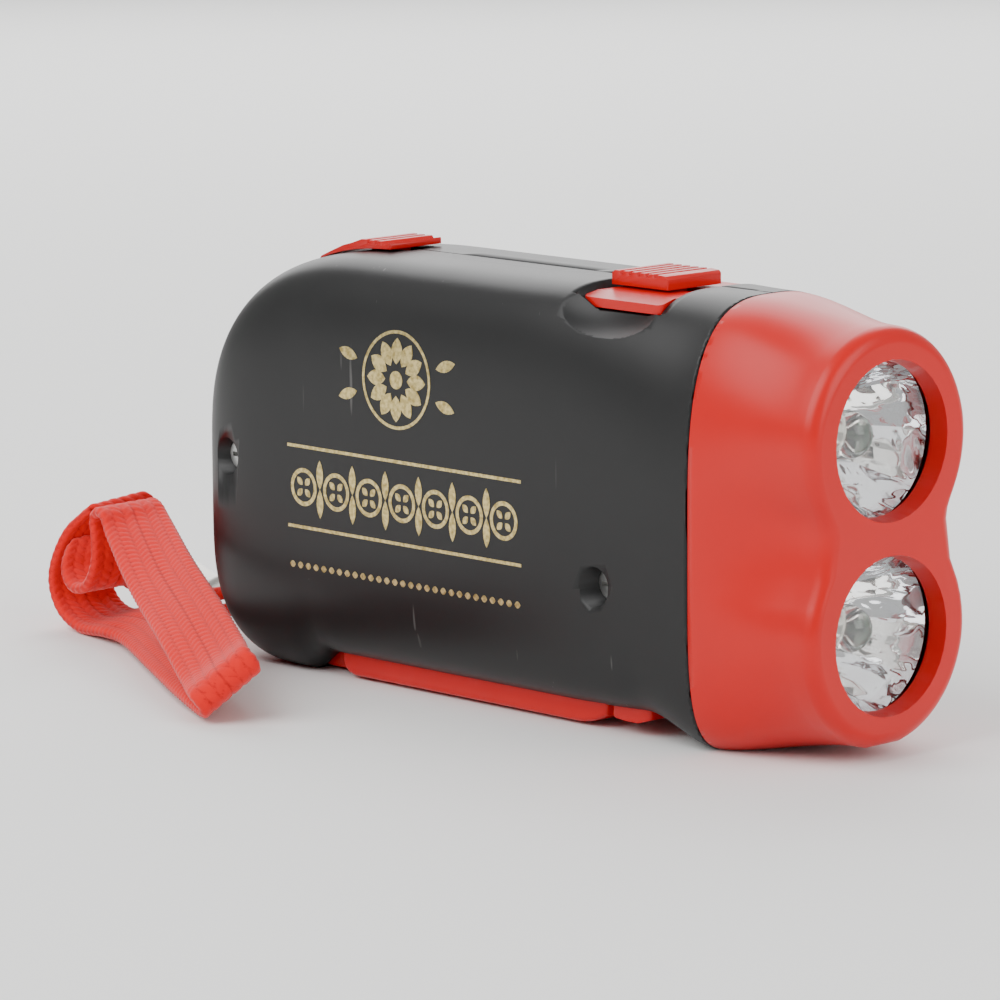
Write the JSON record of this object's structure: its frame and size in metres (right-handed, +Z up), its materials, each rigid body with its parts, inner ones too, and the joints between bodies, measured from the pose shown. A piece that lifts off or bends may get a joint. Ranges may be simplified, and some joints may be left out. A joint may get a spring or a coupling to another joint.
{
  "type": "squeeze dynamo flashlight",
  "caption": "Hand-squeezed dynamo flashlight with two stacked lamps, sliding switches on top, a squeeze lever underneath and a woven wrist strap.",
  "frame": {"origin": "middle of the flashlight's length and width, on the surface it stands on", "axes": "+X towards the lamps, +Z up, -Y towards the side with the screws"},
  "size_m": [0.1341, 0.0572, 0.0536],
  "materials": {
    "black_abs": "satin",
    "red_abs": "gloss",
    "clear_polycarbonate": "clear gloss",
    "vacuum_chrome": "mirror",
    "led_epoxy": "clear gloss",
    "steel": "satin",
    "nickel_plate": "satin",
    "acetal": "satin",
    "glass_epoxy_board": "satin",
    "dark_plastic": "matt",
    "red_wire": "satin",
    "red_webbing": "woven",
    "clip_steel": "satin",
    "enamelled_copper": "gloss",
    "iron_core": "matt",
    "ferrite": "matt"
  },
  "bodies": {
    "case": {"housing_right": "black_abs", "housing_left": "black_abs", "bezel": "red_abs", "lens_upper": "clear_polycarbonate", "lens_lower": "clear_polycarbonate", "reflector_upper": "vacuum_chrome", "reflector_lower": "vacuum_chrome", "led_upper": "led_epoxy", "led_lower": "led_epoxy", "lever_pin": "steel", "lever_spring": "steel", "first_axle": "steel", "second_axle": "steel", "rotor_axle": "steel", "housing_screw_rear": "steel", "housing_screw_front": "steel", "strap_bar": "steel", "cell_contact": "steel", "front_switch_body": "steel", "rear_switch_body": "steel", "coin_cell_right": "nickel_plate", "coin_cell_left": "nickel_plate", "gear_plate": "acetal", "coil_bobbin": "acetal", "led_board": "glass_epoxy_board", "circuit_board": "glass_epoxy_board", "rectifier_chip": "dark_plastic", "smoothing_capacitor": "dark_plastic", "cell_holder": "dark_plastic", "lamp_wire_right": "red_wire", "lamp_wire_left": "red_wire", "wrist_strap": "red_webbing", "strap_loop": "red_webbing", "strap_clip": "clip_steel", "coil_winding": "enamelled_copper", "stator_core": "iron_core", "front_switch_plate": "red_abs"},
    "lever": {"squeeze_lever": "red_abs"},
    "first_gear": {"first_gear": "acetal"},
    "second_gear": {"second_gear": "acetal"},
    "rotor": {"rotor_hub": "acetal", "magnet_ring": "ferrite"},
    "front_switch": {"front_switch_cap": "red_abs", "front_switch_nub": "dark_plastic"},
    "rear_switch": {"rear_slide_cap": "red_abs", "rear_switch_nub": "dark_plastic"},
    "lock": {"lock_slide": "red_abs"}
  },
  "joints": [
    {"name": "lever_hinge", "type": "hinge", "parent": "case", "child": "lever", "pos_m": [-0.0326, 0, 0.007], "axis": [0, 1, 0], "range_deg": [0, 20]},
    {"name": "first_gear_spin", "type": "hinge", "parent": "case", "child": "first_gear", "pos_m": [0.00027, 0, 0.01399], "axis": [0, 1, 0], "range_deg": [-125, 5]},
    {"name": "second_gear_spin", "type": "hinge", "parent": "case", "child": "second_gear", "pos_m": [0.00251, 0, 0.02455], "axis": [0, 1, 0], "range_deg": [-5, 250]},
    {"name": "rotor_spin", "type": "hinge", "parent": "case", "child": "rotor", "pos_m": [-0.00576, 0, 0.03149], "axis": [0, 1, 0], "range_deg": [-480, 0]},
    {"name": "front_switch_slide", "type": "slide", "parent": "case", "child": "front_switch", "axis": [1, 0, 0], "range_m": [0, 0.003]},
    {"name": "rear_switch_slide", "type": "slide", "parent": "case", "child": "rear_switch", "axis": [-1, 0, 0], "range_m": [0, 0.003]},
    {"name": "lock_slide_travel", "type": "slide", "parent": "case", "child": "lock", "axis": [1, 0, 0], "range_m": [0, 0.003]}
  ],
  "couplings": [
    {"joint": "lever_hinge", "follows": "rotor_spin", "ratio": -0.041667},
    {"joint": "first_gear_spin", "follows": "rotor_spin", "ratio": 0.25},
    {"joint": "second_gear_spin", "follows": "rotor_spin", "ratio": -0.5}
  ]
}
